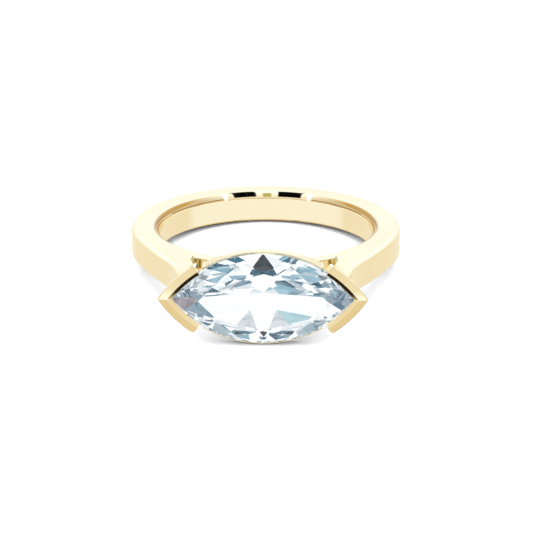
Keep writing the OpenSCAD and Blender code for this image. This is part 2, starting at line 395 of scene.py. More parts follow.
@dataclass
class Shank:
    """The band round the finger, with its two shoulders and the finger rail beneath the head."""

    outline: StoneOutline
    finger_r: float
    thickness: float = 2.12
    width: float = 2.26
    ease: float = 0.3
    hole_ease: float = 0.52
    hole_low_share: float = 0.3
    rail_thickness: float = 1.35
    rail_ease: float = 0.15
    leave_deg: float = 18
    lean_deg: float = 27
    full_r: float = 35
    hollow_r: float = 11
    inner_side_r: float = 28
    neck_half: float = 5.1
    shoulder_gap: float = 1.12
    end_round: float = 0.32
    window_round: float = 0.12
    step: float = 0.09
    corner_steps: int = 6
    ease_steps: int = 7

    def half_outline(self) -> list[tuple[Point, Point, float]]:
        """The outer edge of the right half, from the back of the shank to the finger rail's middle.

        Returns:
            For each point its place, its outward direction and the radius of its eased edge.
        """
        leave, lean = self.leave_deg, self.lean_deg
        outer_r = self.finger_r + self.thickness
        rail_r = self.finger_r + self.rail_thickness
        full_c = (outer_r - self.full_r) * Vector((cos(radians(leave)), -sin(radians(leave))))
        hollow_c = full_c + (self.full_r + self.hollow_r) * Vector((cos(radians(lean)), -sin(radians(lean))))
        inner_c = Vector((self.neck_half + self.inner_side_r, hollow_c.y))
        end_y = self.shoulder_gap - self.outline.rise + self.end_round
        post_out = (hollow_c.x - self.hollow_r - self.end_round, end_y)
        post_in = (self.neck_half + self.end_round, end_y)

        # The fillet in the window's corner touches the shoulder's inner side and the finger rail
        far, near = self.inner_side_r + self.window_round, rail_r + self.window_round
        gap = inner_c.length
        along = (near * near - far * far + gap * gap) / (2 * gap)
        way = inner_c / gap
        corner = way * along - way.orthogonal() * sqrt(near * near - along * along)
        from_side = degrees(atan2(*(inner_c - corner).yx))
        to_rail = degrees(atan2(*(-corner).yx))
        to_end = from_side - ((from_side - to_rail + 180) % 360 - 180)

        full, thin = (self.ease, self.ease), (self.rail_ease, self.rail_ease)
        end_step = self.end_round / self.corner_steps
        found: list[tuple[Point, Point, float]] = []
        for centre, radius, start, end, out, ease, step in (
            ((0, 0), outer_r, 90, -leave, 1, full, self.step),
            (full_c, self.full_r, -leave, -lean, 1, full, self.step),
            (hollow_c, self.hollow_r, 180 - lean, 180, -1, full, self.step),
            (post_out, self.end_round, 0, -90, 1, full, end_step),
            (post_in, self.end_round, -90, -180, 1, full, end_step),
            (inner_c, self.inner_side_r, 180, from_side + 180, 1, full, self.step),
            (corner, self.window_round, from_side, to_end, -1, (self.ease, self.rail_ease),
             self.window_round / self.corner_steps),
            ((0, 0), rail_r, to_rail - 180, -90, 1, thin, self.step),
        ):
            line = arc(centre, radius, start, end, step)
            for i, p in enumerate(line):
                direction = ((p[0] - centre[0]) * out / radius, (p[1] - centre[1]) * out / radius)
                if not found or hypot(p[0] - found[-1][0][0], p[1] - found[-1][0][1]) > SAME_SPOT:
                    found.append((p, direction, lerp(*ease, i / (len(line) - 1))))
        return found

    def build(self) -> bpy.types.Object:
        """Makes the band: flat faces, upright walls and eased edges.

        Returns:
            The band as one closed piece.
        """
        right = self.half_outline()
        left = [((-p[0], p[1]), (-n[0], n[1]), r) for p, n, r in reversed(right[1:-1])]
        hole = [(p, (-p[0] / self.finger_r, -p[1] / self.finger_r), self.hole_ease)
                for p in arc((0, 0), self.finger_r, 0, 360, self.step)[:-1]]
        turns = [i * 90 / self.ease_steps for i in range(self.ease_steps + 1)]
        shell = Shell()
        loops = []
        for line, low in ((right + left, 1.0), (hole, self.hole_low_share)):
            rings = []
            for sign, angles in ((1, turns[::-1]), (-1, turns)):
                for a in angles:
                    rings.append(len(shell.points))
                    for (x, y), (nx, ny), full in line:
                        r = full if sign > 0 else full * low
                        inset = r * (1 - cos(radians(a)))
                        height = self.width / 2 - r + r * sin(radians(a))
                        shell.points.append((x - nx * inset, y - ny * inset, sign * height))
            for i, (a, b) in enumerate(zip(rings, rings[1:])):
                wall = Smoothing.WALL if i == self.ease_steps else Smoothing.EASED
                shell.strip(a, b, [wall] * len(line))
            loops.append((rings[0], rings[-1], len(line)))
        for end, flip in ((0, False), (1, True)):
            edges = [[loop[end] + i for i in range(loop[2])] for loop in loops]
            index = edges[0] + edges[1]
            for tri in tessellate_polygon([[Vector(shell.points[i]) for i in edge] for edge in edges]):
                corners = [index[i] for i in tri]
                a, b, c = (Vector(shell.points[i]) for i in corners)
                up = (b - a).cross(c - a).z > 0
                shell.add(corners if up != flip else corners[::-1], Smoothing.FLAT)
        return shell.to_object("shank")


@dataclass
class HalfBezel:
    """One V-shaped half bezel over a tip of the stone, with its foot on the shoulder."""

    outline: StoneOutline
    wall: float = 0.78
    lip: float = 0.15
    rim: float = 0.5
    rim_fall: float = 0.14
    rim_ease: float = 0.1
    crest: float = 0.18
    crest_ease: float = 0.04
    lip_ease: float = 0.03
    depth: float = 1.0
    taper: float = 0.2
    end_deg: float = 33.2
    seat_gap: float = 0.05
    seat_top: float = 0.14
    seat_low: float = -0.15
    seat_in: float = 0.42
    seat_foot: float = -0.48
    wall_in: float = 0.65
    foot_half: float = 1.03
    foot_in: float = 5.2
    foot_out: float = 6.47
    arch_r: float = 1.45
    inner_arch_r: float = 0.7
    arch_blend: float = 0.08
    back_ease: float = 0.08
    end_outer_r: float = 0.28
    end_inner_r: float = 0.1
    end_top_r: float = 0.06
    eased_step: float = 0.045
    stations: int = 56
    end_steps: int = 10
    back_steps: int = 22
    profile_steps: int = 5
    wall_steps: int = 4
    ease_steps: int = 4
    foot_rounds: int = 4

    def outer(self, height: float) -> float:
        """How far the tapered outer wall stands outside the stone at a height."""
        return self.wall - self.taper * (self.rim - self.rim_fall - self.rim_ease - height)

    def back(self, x: float, y: float) -> float:
        """Height of the wall's back, which arches down to the foot.

        Args:
            x: Distance along the stone from its middle.
            y: Distance across it.

        Returns:
            The height above the middle of the girdle.
        """
        fall = self.arch_r
        for away, radius in ((abs(y) - self.foot_half, self.arch_r), (x - self.foot_out, self.arch_r),
                             (self.foot_in - x, self.inner_arch_r)):
            if away > 0:
                fall = soft_min(fall, ease_in(away, radius), self.arch_blend)
        return -self.depth - max(fall, 0.0)

    def upper_profile(self) -> list[Point]:
        """The profile over the rim, from the outer wall to the inner one.

        Returns:
            Points as distance outside the stone's outline and height.
        """
        edge = self.rim - self.rim_fall
        return rounded([
            (self.outer(0.0), 0.0, 0),
            (self.outer(edge), edge, self.rim_ease),
            (self.crest, self.rim, self.crest_ease),
            (-self.lip, edge, self.lip_ease),
            (self.seat_gap, self.seat_top, 0),
            (self.seat_gap, self.seat_low, 0),
            (-self.seat_in, self.seat_foot, self.lip_ease),
            (-self.wall_in, 2 * self.back_ease - self.depth, 0),
        ], self.profile_steps)

    def section(self, deg: float, share: float, side: int, near_end: float) -> list[Place]:
        """One section through the wall.

        Args:
            deg: The angle along the side from which the arm's stations run to its mitre.
            share: How far along that run the section lies.
            side: Which side of the stone it lies on.
            near_end: The section's distance from the arm's end.

        Returns:
            The section's points on the head's axes.
        """
        out_squeeze = ease_in(near_end, self.end_outer_r) / (self.wall - self.crest)
        in_squeeze = ease_in(near_end, self.end_inner_r) / (self.crest + self.lip)
        top_squeeze = ease_in(near_end, self.end_top_r) / self.rim

        def place(out: float, height: float | None = None) -> Place:
            """Finds a point of the section, narrowed near the arm's end.

            Args:
                out: Its distance outside the outline.
                height: Its height, where it isn't on the wall's back.

            Returns:
                The point.
            """
            squeeze = out_squeeze if out > self.crest else in_squeeze
            kept = self.crest + (out - self.crest) * (1 - squeeze)
            x, y = self.outline.point(lerp(deg, self.outline.mitre_deg(out), share), side, kept)
            z = self.back(x, y) if height is None else height
            return x, y, z * (1 - top_squeeze) if z > 0 else z

        ease = self.back_ease
        foot = self.wall / 2
        for _ in range(self.foot_rounds):
            foot = self.outer(place(foot)[2] + ease)
        low_out, low_in = place(foot)[2] + ease, place(-self.wall_in)[2] + ease
        shares = [i / self.wall_steps for i in range(1, self.wall_steps)]
        inner_wall = [place(-self.wall_in, lerp(2 * ease - self.depth, low_in, f)) for f in shares]
        outer_wall = [place(self.outer(z), z) for z in (lerp(low_out, 0.0, f) for f in shares)]
        breadth = foot + self.wall_in
        eased = [ease * (1 - cos(radians(i * 90 / self.ease_steps))) for i in range(self.ease_steps + 1)]
        inward = eased + [lerp(ease, breadth - ease, i / self.back_steps)
                          for i in range(1, self.back_steps)] + [breadth - e for e in reversed(eased)]
        across = []
        for d in inward:
            x, y, z = place(d - self.wall_in)
            lift = ease_in(d, ease) + ease_in(breadth - d, ease)
            across.append((x, y, z + lift))
        return [place(*p) for p in self.upper_profile()] + inner_wall + across + outer_wall

    def build(self, name: str) -> bpy.types.Object:
        """Makes the half bezel over the tip on the +X side, with a mitre where its arms meet.

        Args:
            name: The piece's name.

        Returns:
            The closed piece on the head's axes.
        """
        side_r = self.outline.side_r
        start = self.end_deg + degrees(self.end_outer_r / side_r)
        rounds = [self.end_outer_r * (1 - cos(radians(90 * i / self.end_steps)))
                  for i in range(self.end_steps)]
        arm = [(self.end_deg + degrees(away / side_r), 0.0, away) for away in rounds]
        arm += [(start, i / self.stations, self.wall) for i in range(self.stations + 1)]
        shell = Shell()
        rings = []
        for side, stations in ((1, arm), (-1, arm[-2::-1])):
            for deg, share, near_end in stations:
                rings.append(len(shell.points))
                shell.points += self.section(deg, share, side, near_end)
        count = len(shell.points) - rings[-1]
        middle = [Vector(p) for p in shell.points[rings[len(rings) // 2]:][:count]]
        ranks = [Smoothing.EASED if (p - q).length < self.eased_step else Smoothing.WALL
                 for p, q in zip(middle, middle[1:] + middle[:1])]
        for a, b in zip(rings, rings[1:]):
            shell.strip(a, b, ranks)
        for first, flip in ((rings[0], True), (rings[-1], False)):
            for tri in tessellate_polygon([[Vector(p) for p in shell.points[first:first + count]]]):
                corners = [first + i for i in tri]
                shell.add(corners[::-1] if flip else corners, Smoothing.FLAT)
        return shell.to_object(name)


class Net:
    """Short ways to add and join nodes in one tree."""

    def __init__(self, tree: bpy.types.NodeTree) -> None:
        """Holds the tree that the nodes go in."""
        self.tree = tree

    def link(self, source: object, target: Socket) -> None:
        """Feeds a socket from another socket, or sets its value.

        Args:
            source: The other socket, or the value.
            target: The socket.
        """
        if isinstance(source, Socket):
            self.tree.links.new(source, target)
        elif target.type == "RGBA":
            target.default_value = (*source, 1)
        else:
            target.default_value = source

    def fill(self, node: bpy.types.Node, inputs: dict[str, object]) -> None:
        """Feeds or sets a node's inputs, by name."""
        for name, value in inputs.items():
            self.link(value, node.inputs[name])

    def node(self, kind: str, inputs: dict[str, object] | None = None,
             **settings: object) -> bpy.types.Node:
        """Adds a node.

        Args:
            kind: Blender's name for the node.
            inputs: What its inputs hold or are fed from, by name.
            settings: The node's own settings.

        Returns:
            The new node.
        """
        made = self.tree.nodes.new(kind)
        for name, value in settings.items():
            setattr(made, name, value)
        self.fill(made, inputs or {})
        return made

    def value(self, kind: str, inputs: dict[str, object] | None = None, **settings: object) -> Socket:
        """Adds a node and gives its first output."""
        return self.node(kind, inputs, **settings).outputs[0]

    def sum(self, kind: str, values: tuple[object, ...], **settings: object) -> bpy.types.Node:
        """Adds a node that does a sum.

        Args:
            kind: Blender's name for the node.
            values: What goes in, in the order of its inputs.
            settings: The node's own settings.

        Returns:
            The new node.
        """
        made = self.node(kind, **settings)
        for value, socket in zip(values, made.inputs):
            self.link(value, socket)
        return made

    def math(self, operation: str, *values: object, clamp: bool = False) -> Socket:
        """The result of a sum, kept between nought and one where clamp is set."""
        return self.sum("ShaderNodeMath", values, operation=operation, use_clamp=clamp).outputs[0]

    def vector(self, operation: str, *values: object) -> Socket:
        """The result of a vector sum."""
        made = self.sum("ShaderNodeVectorMath", values, operation=operation)
        return made.outputs["Value" if operation == "DOT_PRODUCT" else "Vector"]

    def xyz(self, *parts: object) -> Socket:
        """Joins up to three values into a vector."""
        return self.value("ShaderNodeCombineXYZ", dict(zip("XYZ", parts)))

    def parts(self, vector: Socket) -> bpy.types.NodeOutputs:
        """Splits a vector into its three values."""
        return self.node("ShaderNodeSeparateXYZ", {"Vector": vector}).outputs

    def mix(self, share: object, a: object, b: object) -> Socket:
        """Mixes two colours.

        Args:
            share: The share of the second colour.
            a: The first colour.
            b: The second colour.

        Returns:
            The socket that gives the mixture.
        """
        made = self.node("ShaderNodeMix", data_type="RGBA")
        for number, source in zip(MIX_INPUTS, (share, a, b)):
            self.link(source, made.inputs[number])
        return made.outputs[MIX_RESULT]

    def ramp(self, value: object, low: float, high: float) -> Socket:
        """A mask that rises smoothly from nought to one between two values."""
        span = {"Value": value, "From Min": low, "From Max": high}
        return self.value("ShaderNodeMapRange", span, interpolation_type="SMOOTHSTEP")

    def band(self, value: object, low: float, high: float, soft: float) -> Socket:
        """A mask that is one between two values and fades to nought outside them."""
        rise, fall = (self.ramp(value, edge - soft / 2, edge + soft / 2) for edge in (low, high))
        return self.math("MULTIPLY", rise, self.math("SUBTRACT", 1.0, fall))

    def profile(self, value: object, points: tuple[Point, ...]) -> Socket:
        """A curve through a few points.

        Args:
            value: The socket that is read, from minus one to one.
            points: The curve's points, in order.

        Returns:
            The socket that gives the curve's height.
        """
        made = self.node("ShaderNodeFloatCurve", {"Value": value})
        curve = made.mapping.curves[0]
        made.mapping.use_clip = False
        made.mapping.extend = "HORIZONTAL"
        while len(curve.points) < len(points):
            curve.points.new(0.0, 0.0)
        for spot, place in zip(curve.points, points):
            spot.location = place
            spot.handle_type = "VECTOR"
        made.mapping.update()
        return made.outputs[0]


@dataclass
class GalleryRails:
    """The two rails that follow the stone behind its girdle, from one half bezel to the other."""

    outline: StoneOutline
    reach: float = 0.13
    top: float = 0.08
    depth: float = 0.92
    arch: float = 0.38
    seat_gap: float = 0.05
    seat_low: float = 0.15
    seat_in: float = 0.42
    seat_foot: float = 0.57
    ease: float = 0.05
    end_deg: float = 31.9
    web_deg: float = 36.2
    curl_r: float = 0.35
    web_out: float = 0.12
    web_in: float = 0.4
    web_top: float = 0.62
    web_back: float = 0.95
    eased_step: float = 0.05
    steps: int = 300
    ease_steps: int = 4

    def sizes(self) -> dict[str, float]:
        """The tree's inputs.

        Returns:
            Their values, in millimetres and radians, by name.
        """
        half = self.outline.side_r * sin(radians(self.end_deg))
        own = ("reach", "top", "depth", "seat_gap", "seat_low", "seat_in", "seat_foot", "ease",
               "web_out", "web_in", "web_top", "web_back", "steps")
        return {name.replace("_", " "): getattr(self, name) for name in own} | {
            "side radius": self.outline.side_r,
            "side centre": self.outline.side_c,
            "curl radius": self.curl_r,
            "end angle": radians(self.end_deg),
            "web angle": radians(self.web_deg),
            "arch radius": (half * half + self.arch * self.arch) / (2 * self.arch),
        }

    def tree(self, finish: bpy.types.Material) -> bpy.types.GeometryNodeTree:
        """Builds the nodes that sweep a rail along the stone and turn a second one to the far side.

        Args:
            finish: The material that the tree sets.

        Returns:
            The node tree.
        """
        tree = bpy.data.node_groups.new("gallery rails", "GeometryNodeTree")
        kinds = {"Geometry": "NodeSocketGeometry", "steps": "NodeSocketInt"}
        for name in ("Geometry", *self.sizes()):
            tree.interface.new_socket(name, in_out="INPUT", socket_type=kinds.get(name, "NodeSocketFloat"))
        tree.interface.new_socket("Geometry", in_out="OUTPUT", socket_type="NodeSocketGeometry")
        net = Net(tree)
        math = net.math
        given = net.node("NodeGroupInput").outputs
        index = net.value("GeometryNodeInputIndex")

        # The profile: distance outside the outline, and depth, which the sweep turns downwards
        corners = (("reach", 1, "top"), ("seat gap", 1, "top"), ("seat gap", 1, "seat low"),
                   ("seat in", -1, "seat foot"), ("seat in", -1, "depth"), ("reach", 1, "depth"))
        choice = net.node("GeometryNodeIndexSwitch", data_type="VECTOR")
        while len(choice.index_switch_items) < len(corners):
            choice.index_switch_items.new()
        net.link(index, choice.inputs["Index"])
        for i, (out, sign, low) in enumerate(corners):
            net.link(net.xyz(math("MULTIPLY", given[out], float(sign)), given[low]), choice.inputs[i + 1])
        loop = net.value("GeometryNodeMeshCircle", {"Vertices": len(corners)})
        drawn = net.value("GeometryNodeSetPosition", {"Geometry": loop, "Position": choice.outputs[0]})
        profile = net.value("GeometryNodeMeshToCurve", {"Mesh": drawn})
        eased = net.value("GeometryNodeFilletCurve", {
            "Curve": profile, "Count": self.ease_steps, "Radius": given["ease"], "Limit Radius": True,
        }, mode="POLY")

        # The path: one side of the stone, run on into both bezels
        path = net.value("GeometryNodeCurveArc", {
            "Resolution": given["steps"],
            "Radius": given["side radius"],
            "Start Angle": math("SUBTRACT", pi / 2, given["web angle"]),
            "Sweep Angle": math("MULTIPLY", given["web angle"], 2.0),
        })
        upright = net.value("GeometryNodeSetCurveNormal", {"Curve": path}, mode="Z_UP")
        swept = net.value("GeometryNodeCurveToMesh", {
            "Curve": upright, "Profile Curve": eased, "Fill Caps": True})

        # Each point's own place: along the side, outside it, and its depth
        x, y, z = net.parts(net.value("GeometryNodeInputPosition"))
        along = math("ABSOLUTE", math("ARCTAN2", x, y))
        radius = math("SQRT", math("ADD", math("MULTIPLY", x, x), math("MULTIPLY", y, y)))
        out = math("SUBTRACT", radius, given["side radius"])
        depth = math("MULTIPLY", z, -1.0)

        # The back's arch deepens the lower part of the rail towards its ends
        arch_r = given["arch radius"]
        reach2 = math("SUBTRACT", math("MULTIPLY", arch_r, arch_r), math("MULTIPLY", x, x))
        extra = math("SUBTRACT", arch_r, math("SQRT", reach2))
        lower = net.value("ShaderNodeMapRange", {
            "Value": depth, "From Min": given["seat foot"],
            "From Max": math("SUBTRACT", given["depth"], given["ease"])})
        deep = math("ADD", depth, math("MULTIPLY", extra, lower))
        back = math("ADD", given["depth"], extra)

        # Near its end the rail curls in to the web, along a quarter of a circle
        left = math("MULTIPLY", math("SUBTRACT", given["end angle"], along), given["side radius"])
        share = math("DIVIDE", left, given["curl radius"])
        inside = math("SUBTRACT", 1.0, math("MAXIMUM", math("MINIMUM", share, 1.0), 0.0))
        keep = math("SQRT", math("SUBTRACT", 1.0, math("MULTIPLY", inside, inside)))
        curl = math("SUBTRACT", 1.0, keep)

        def between(a: object, b: object) -> Socket:
            """A value that goes from the rail's to the web's as the rail curls in."""
            return math("ADD", a, math("MULTIPLY", math("SUBTRACT", b, a), curl))

        def remap(value: object, a: object, b: object, new_a: object, new_b: object) -> Socket:
            """Stretches a value from one span to another."""
            part = math("DIVIDE", math("SUBTRACT", value, a), math("SUBTRACT", b, a))
            return math("ADD", new_a, math("MULTIPLY", math("SUBTRACT", new_b, new_a), part))

        inner, web_inner, web_outer = (
            math("MULTIPLY", given[name], -1.0) for name in ("seat in", "web in", "web out"))
        new_depth = remap(deep, given["top"], back,
                          between(given["top"], given["web top"]), between(back, given["web back"]))
        new_out = remap(out, inner, given["reach"],
                        between(inner, web_inner), between(given["reach"], web_outer))
        scale = math("DIVIDE", math("ADD", given["side radius"], new_out), radius)
        place = net.xyz(math("MULTIPLY", x, scale),
                        math("SUBTRACT", math("MULTIPLY", y, scale), given["side centre"]),
                        math("MULTIPLY", new_depth, -1.0))
        shaped = net.value("GeometryNodeSetPosition", {"Geometry": swept, "Position": place})

        # One rail on either side of the stone
        spots = net.value("GeometryNodeMeshLine", {"Count": 2, "Offset": (0, 0, 0)})
        single = net.value("GeometryNodeMergeByDistance", {"Geometry": shaped, "Distance": MERGE})
        outwards = net.value("GeometryNodeFlipFaces", {"Mesh": single})
        turn = net.xyz(0.0, 0.0, math("MULTIPLY", index, pi))
        both = net.value("GeometryNodeInstanceOnPoints", {
            "Points": spots, "Instance": outwards, "Rotation": turn})
        real = net.value("GeometryNodeRealizeInstances", {"Geometry": both})
        dressed = net.value("GeometryNodeSetMaterial", {"Geometry": real, "Material": finish})
        net.link(dressed, net.node("NodeGroupOutput").inputs[0])
        return tree

    def build(self, finish: bpy.types.Material) -> bpy.types.Object:
        """Makes both rails.

        Args:
            finish: The rails' material.

        Returns:
            One object with a closed shell for each rail, on the head's axes.
        """
        piece = Shell([(0.0, 0.0, 0.0)]).to_object("rail_path")
        nodes = piece.modifiers.new("gallery rails", "NODES")
        nodes.node_group = self.tree(finish)
        values = self.sizes()
        for socket in nodes.node_group.interface.items_tree:
            if socket.name in values:
                nodes[socket.identifier] = values[socket.name]
        mesh = plain_mesh(piece, "gallery_rails")
        bpy.data.objects.remove(piece)
        rank = mesh.attributes.get("rank") or mesh.attributes.new("rank", "INT", "FACE")
        for face, value in zip(mesh.polygons, rank.data):
            spots = [mesh.vertices[v].co for v in face.vertices]
            longest = max((a - b).length for a, b in zip(spots, spots[1:] + spots[:1]))
            value.value = int(Smoothing.EASED if longest < self.eased_step else Smoothing.WALL)
        return linked("gallery_rails", mesh)


@dataclass(frozen=True)
class Tier:
    """The facets on one side of the girdle: mains that touch it, and two halves between mains."""

    outline: StoneOutline
    up: int
    level: float
    height: float
    half_share: float
    turns: tuple[float, ...]
    slopes: tuple[float, ...] = ()

    def main(self, k: int) -> float:
        """The turn of one main facet, counted round."""
        laps, number = divmod(k, len(self.turns))
        return self.turns[number] + laps * self.outline.lap

    def touch(self, k: int) -> Vector:
        """Where a main facet touches the girdle."""
        return self.outline.at_turn(self.main(k))

    def outward(self, k: int) -> Vector:
        """The way that a main facet faces, seen from above."""
        return self.outline.outward(self.main(k))

    def rate(self, k: int) -> float:
        """Finds the height gained over a run of one on a main facet.

        Args:
            k: The main facet's number.

        Returns:
            The height, from the facet's own slope or from the point where all mains meet.
        """
        if self.slopes:
            return tan(radians(self.slopes[k % len(self.slopes)]))
        return self.height / self.outward(k).dot(self.touch(k))

    def split(self, k: int) -> float:
        """Finds the turn that parts the halves between main facets k and k + 1.

        Args:
            k: The first main facet's number.

        Returns:
            The turn of the tip that lies between them, or else of their middle.
        """
        first, last = self.main(k), self.main(k + 1)
        side = self.outline.lap / 2
        tip = side * ceil((first + SAME_TURN) / side)
        return tip if tip < last - SAME_TURN else (first + last) / 2

    def meet(self, k: int) -> Vector:
        """Finds where main facets k and k + 1 and the halves between them come together.

        Args:
            k: The first main facet's number.

        Returns:
            The point on the head's axes.
        """
        run = self.height * self.half_share
        a, b = self.outward(k), self.outward(k + 1)
        da, db = (way.dot(self.touch(n)) - run / self.rate(n) for way, n in ((a, k), (b, k + 1)))
        det = a.x * b.y - a.y * b.x
        return Vector(((da * b.y - db * a.y) / det, (a.x * db - b.x * da) / det, self.level + self.up * run))

    def edge_height(self, turn: float) -> float:
        """Height of the girdle's edge, which the halves cut in shallow scallops.

        Args:
            turn: The place on the outline.

        Returns:
            The height above the girdle's middle.
        """
        k = max((k for k in range(len(self.turns)) if self.main(k) <= turn + SAME_TURN), default=-1)
        split = self.split(k)
        level = Vector((0, 0, self.level))
        near = self.touch(k if turn <= split else k + 1).to_3d() + level
        apart = self.outline.at_turn(split).to_3d() + level
        normal = (self.meet(k) - near).cross(apart - near)
        place = self.outline.at_turn(turn)
        return near.z - (normal.x * (place.x - near.x) + normal.y * (place.y - near.y)) / normal.z


@dataclass
class MarquiseStone:
    """The cut stone: a table, stars, mains and halves over a thin girdle, and six mains to the culet."""

    outline: StoneOutline
    table_h: float = 0.86
    culet: float = 3.05
    girdle: float = 0.25
    crown_main_deg: float = 28.0
    slope_tip: float = 18.8
    slope_quarter: float = 30.0
    slope_middle: float = 31.5
    star_share: float = 0.5
    pavilion_main_deg: float = 38.0
    half_share: float = 0.67
    step_deg: float = 2.4

    def tiers(self) -> tuple[Tier, Tier]:
        """Lays out the mains.

        Returns:
            The facets above the girdle, and those below it.
        """
        tip, half = self.outline.tip_deg, self.girdle / 2
        a, b = self.crown_main_deg, self.pavilion_main_deg
        crown = (0.0, tip - a, tip, tip + a, 2 * tip, 3 * tip - a, 3 * tip, 3 * tip + a)
        slopes = (self.slope_tip, self.slope_quarter, self.slope_middle, self.slope_quarter) * 2
        pavilion = (tip - b, tip, tip + b, 3 * tip - b, 3 * tip, 3 * tip + b)
        return (Tier(self.outline, 1, half, self.table_h - half, self.star_share, crown, slopes),
                Tier(self.outline, -1, -half, self.culet - half, self.half_share, pavilion))

    def stations(self, tiers: tuple[Tier, ...]) -> list[float]:
        """The turns at which the girdle has a corner.

        Args:
            tiers: The facets above and below it.

        Returns:
            The turns, from the first tip all the way round.
        """
        lap = self.outline.lap
        breaks = sorted({round(turn % lap, TURN_DIGITS) for tier in tiers for k in range(len(tier.turns))
                         for turn in (tier.main(k), tier.split(k))})
        found = []
        for first, last in zip(breaks, breaks[1:] + [lap]):
            count = max(1, round((last - first) / self.step_deg))
            found += [lerp(first, last, i / count) for i in range(count)]
        return found

    def build(self) -> bpy.types.Object:
        """Cuts the stone, each facet one flat face.

        Returns:
            The stone on the head's axes.
        """
        shell = Shell()
        tiers = self.tiers()
        turns = self.stations(tiers)
        laps = sorted((turn + lap * self.outline.lap, i)
                      for lap in (-1, 0, 1) for i, turn in enumerate(turns))

        def put(place: Vector, height: float) -> int:
            """Adds a point and gives its number."""
            shell.points.append((place.x, place.y, height))
            return len(shell.points) - 1

        def run(edge: list[int], first: float, last: float) -> list[int]:
            """The points of the girdle's edge from one turn to another."""
            return [edge[i] for turn, i in laps if first - SAME_TURN <= turn <= last + SAME_TURN]

        edges = []
        for tier in tiers:
            count, step = len(tier.turns), tier.up
            edge = [put(self.outline.at_turn(turn), tier.edge_height(turn)) for turn in turns]
            inner = [put(tier.meet(k), tier.meet(k).z) for k in range(count)]
            if tier.up > 0:
                tops = [put(tier.touch(k) - tier.outward(k) * tier.height / tier.rate(k), self.table_h)
                        for k in range(count)]
                shell.add(tops, Smoothing.FLAT)
                for k in range(count):
                    shell.add([tops[k], inner[k], tops[(k + 1) % count]], Smoothing.FLAT)
            else:
                tops = [put(Vector((0, 0)), -self.culet)] * count
            for k in range(count):
                first, split, last = tier.main(k), tier.split(k), tier.main(k + 1)
                kite = [tops[k], inner[k - 1]] + run(edge, first, first) + [inner[k]]
                for face in (kite, [inner[k]] + run(edge, first, split), [inner[k]] + run(edge, split, last)):
                    shell.add(face[::step], Smoothing.FLAT)
            edges.append(edge)
        shell.strip(edges[1][0], edges[0][0], [Smoothing.EASED] * len(turns))
        return shell.to_object("cut_stone")


@dataclass(frozen=True)
class PolishWear:
    """The fine marks that wiping and wear leave in a polish, shared by the metal and the stone."""

    name: str = "polish wear"
    detail: float = 3.0
    stretch: float = 12.0
    line_span: Point = (0.55, 0.9)
    line_soft: float = 0.12

    def group(self) -> bpy.types.ShaderNodeTree:
        """Builds the shader group once.

        Returns:
            The group, which puts out a roughness, a height and a tone that vary over the surface.
        """
        tree = bpy.data.node_groups.get(self.name)
        if tree:
            return tree
        tree = bpy.data.node_groups.new(self.name, "ShaderNodeTree")
        sockets = {"INPUT": ("Roughness", "Marks", "Scale"), "OUTPUT": ("Roughness", "Height", "Tone")}
        for way, names in sockets.items():
            for name in names:
                tree.interface.new_socket(name, in_out=way, socket_type="NodeSocketFloat")
        net = Net(tree)
        given = net.node("NodeGroupInput").outputs
        place = net.node("ShaderNodeTexCoord").outputs["Object"]
        long = net.vector("MULTIPLY", place, (1.0, self.stretch, self.stretch))
        lines, cloud = (
            net.value("ShaderNodeTexNoise", {"Vector": at, "Scale": given["Scale"], "Detail": self.detail})
            for at in (long, place))
        soft = net.math("SUBTRACT", cloud, NOISE_MIDDLE)
        sharp = net.band(lines, *self.line_span, self.line_soft)
        marks = net.math("MULTIPLY", net.math("ADD", sharp, soft), given["Marks"])
        net.node("NodeGroupOutput", {
            "Roughness": net.math("ADD", given["Roughness"], marks, clamp=True),
            "Height": net.math("ADD", lines, soft),
            "Tone": cloud,
        })
        return tree

    def put(self, net: Net, roughness: float, marks: float, scale: float) -> bpy.types.NodeOutputs:
        """Adds the group to a material, with the material's own values."""
        values = {"Roughness": roughness, "Marks": marks, "Scale": scale}
        return net.node("ShaderNodeGroup", values, node_tree=self.group()).outputs


@dataclass(frozen=True)
class PolishedGold:
    """Pale yellow gold, polished bright, with a faint drift in its alloy, fine wipe marks and a painted amber
    reflection on the finger hole's upper edges.
    """

    pale: Colour = (0.905, 0.775, 0.50)
    deep: Colour = (0.885, 0.75, 0.465)
    edge: Colour = (1.0, 0.985, 0.93)
    # Painted reflection: the warm amber that the base colour turns where the gold would mirror itself inside
    # the finger hole
    painted_reflection_tint: Colour = (0.42, 0.22, 0.04)
    roughness: float = 0.035
    marks: float = 0.018
    scale: float = 700.0
    fine_strength: float = 0.012
    fine_height: float = 0.02
    wave_scale: float = 130.0
    wave_detail: float = 0.0
    wave_strength: float = 1.0
    wave_height: float = 0.15

    def material(self) -> bpy.types.Material:
        """Makes the finish.

        Returns:
            The material.
        """
        material, net, shader = new_material("polished gold")
        wear = PolishWear().put(net, self.roughness, self.marks, self.scale)
        place = net.node("ShaderNodeTexCoord").outputs["Object"]
        wave = net.value("ShaderNodeTexNoise", {
            "Vector": place, "Scale": self.wave_scale, "Detail": self.wave_detail})
        broad = net.value("ShaderNodeBump", {
            "Height": wave, "Strength": self.wave_strength, "Distance": self.wave_height * MM})
        fine = net.value("ShaderNodeBump", {
            "Height": wear["Height"], "Strength": self.fine_strength, "Distance": self.fine_height * MM,
            "Normal": broad})
        # Painted reflection: the base colour turns amber where the mounting is marked, in place of the gold
        # mirroring itself inside the finger hole
        inner = net.node("ShaderNodeAttribute", attribute_name="inner_edge").outputs["Fac"]
        net.fill(shader, {
            "Base Color": net.mix(inner, net.mix(wear["Tone"], self.pale, self.deep), self.painted_reflection_tint),
            "Metallic": 1.0,
            "Specular Tint": self.edge,
            "Roughness": wear["Roughness"],
            "Normal": fine,
        })
        return material


